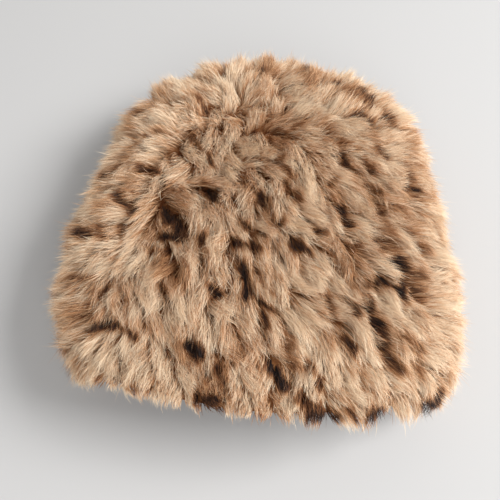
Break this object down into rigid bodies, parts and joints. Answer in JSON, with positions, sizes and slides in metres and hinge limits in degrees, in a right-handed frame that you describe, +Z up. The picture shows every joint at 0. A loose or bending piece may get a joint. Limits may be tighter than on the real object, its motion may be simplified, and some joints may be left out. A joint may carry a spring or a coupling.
{
  "type": "rabbit fur hat",
  "caption": "Brimless rabbit fur hat lying on its side: a closed-crown stretch-knit base covered by overlapping rows of deep fur strip, open at the rim.",
  "frame": {"origin": "under the middle of the hat's box, on the plane that the hat lies on", "axes": "+Z up from that plane, +Y along the hat's long axis from the open rim to the crown, +X across it"},
  "size_m": [0.2706, 0.2856, 0.0916],
  "materials": {
    "knit": "dull stretch knit, dark brown",
    "fur": "deep soft rabbit fur strip, tan with cream tips and dark brown spots"
  },
  "bodies": {
    "root": {"knitted_base": "knit", "rim_fur_row": "fur", "fur_row_2": "fur", "fur_row_3": "fur", "fur_row_4": "fur", "fur_row_5": "fur", "fur_row_6": "fur", "fur_row_7": "fur", "crown_fur": "fur"}
  },
  "joints": []
}
